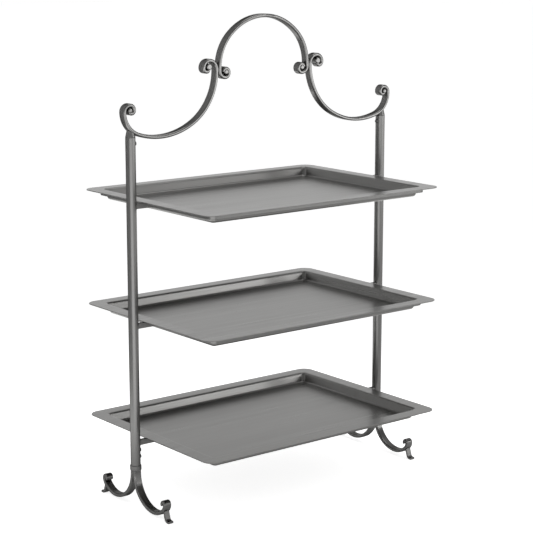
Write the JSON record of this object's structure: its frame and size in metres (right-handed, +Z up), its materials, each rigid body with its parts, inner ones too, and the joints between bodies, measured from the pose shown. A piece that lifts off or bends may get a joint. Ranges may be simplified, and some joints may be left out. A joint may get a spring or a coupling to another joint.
{
  "type": "tiered display stand",
  "caption": "Free-standing display stand: tube posts on scrolled feet hold hoops with lift-out rectangular trays, under a scrolled carrying handle.",
  "frame": {"origin": "on the ground, midway between the posts", "axes": "+Z up, X along the trays from the left post to the right one, -Y towards the front"},
  "size_m": [0.4376, 0.2794, 0.6214],
  "materials": {
    "tray_steel": "satin gunmetal steel sheet with a fine lengthwise brushed grain",
    "frame_steel": "satin gunmetal plated steel tube and bar, a little glossier than the trays",
    "screw_steel": "dark plated machine screws"
  },
  "bodies": {
    "frame": {"foot_leg_front_left": "frame_steel", "foot_leg_front_right": "frame_steel", "foot_leg_rear_left": "frame_steel", "foot_leg_rear_right": "frame_steel", "foot_screws": "screw_steel", "foot_socket_left": "frame_steel", "foot_socket_right": "frame_steel", "foot_toe_front_left": "frame_steel", "foot_toe_front_right": "frame_steel", "foot_toe_rear_left": "frame_steel", "foot_toe_rear_right": "frame_steel", "handle_arch": "frame_steel", "handle_plug_left": "frame_steel", "handle_plug_right": "frame_steel", "handle_screws": "screw_steel", "handle_scroll_left": "frame_steel", "handle_scroll_right": "frame_steel", "hoop_arm_bottom_left": "frame_steel", "hoop_arm_bottom_right": "frame_steel", "hoop_arm_middle_left": "frame_steel", "hoop_arm_middle_right": "frame_steel", "hoop_arm_top_left": "frame_steel", "hoop_arm_top_right": "frame_steel", "post_left": "frame_steel", "post_right": "frame_steel", "tray_hoop_bottom": "frame_steel", "tray_hoop_middle": "frame_steel", "tray_hoop_top": "frame_steel"},
    "top_tray": {"tray_top": "tray_steel"},
    "middle_tray": {"tray_middle": "tray_steel"},
    "bottom_tray": {"tray_bottom": "tray_steel"}
  },
  "joints": [
    {"name": "top_tray_lift", "type": "slide", "parent": "frame", "child": "top_tray", "axis": [0, 0, 1], "range_m": [0, 0.075]},
    {"name": "middle_tray_lift", "type": "slide", "parent": "frame", "child": "middle_tray", "axis": [0, 0, 1], "range_m": [0, 0.135]},
    {"name": "bottom_tray_lift", "type": "slide", "parent": "frame", "child": "bottom_tray", "axis": [0, 0, 1], "range_m": [0, 0.135]}
  ]
}
